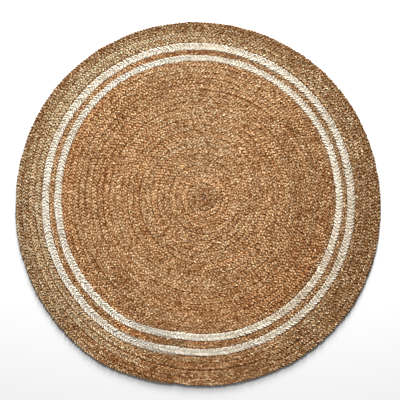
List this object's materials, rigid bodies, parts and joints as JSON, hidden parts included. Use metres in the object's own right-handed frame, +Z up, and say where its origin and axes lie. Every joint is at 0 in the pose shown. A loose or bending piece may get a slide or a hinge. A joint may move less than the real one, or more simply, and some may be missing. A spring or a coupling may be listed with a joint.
{
  "type": "round braided jute rug",
  "caption": "Round flat rug of three-strand jute plait, wound from the middle and sewn edge to edge, natural with two narrow ivory rings near the rim.",
  "frame": {"origin": "under the middle of the rug's outline, on its flat underside", "axes": "+Z up out of the upper face, +Y towards the top of the picture, +X to its right"},
  "size_m": [1.1952, 1.1886, 0.009],
  "materials": {
    "natural_jute": "matt undyed jute fibre, straw to brown from strand to strand",
    "ivory_jute": "matt bleached jute fibre, ivory with darker hollows"
  },
  "bodies": {
    "root": {"field_coil": "natural_jute", "inner_ivory_turn": "ivory_jute", "middle_natural_turn": "natural_jute", "outer_ivory_turn": "ivory_jute", "border_coil": "natural_jute"}
  },
  "joints": []
}
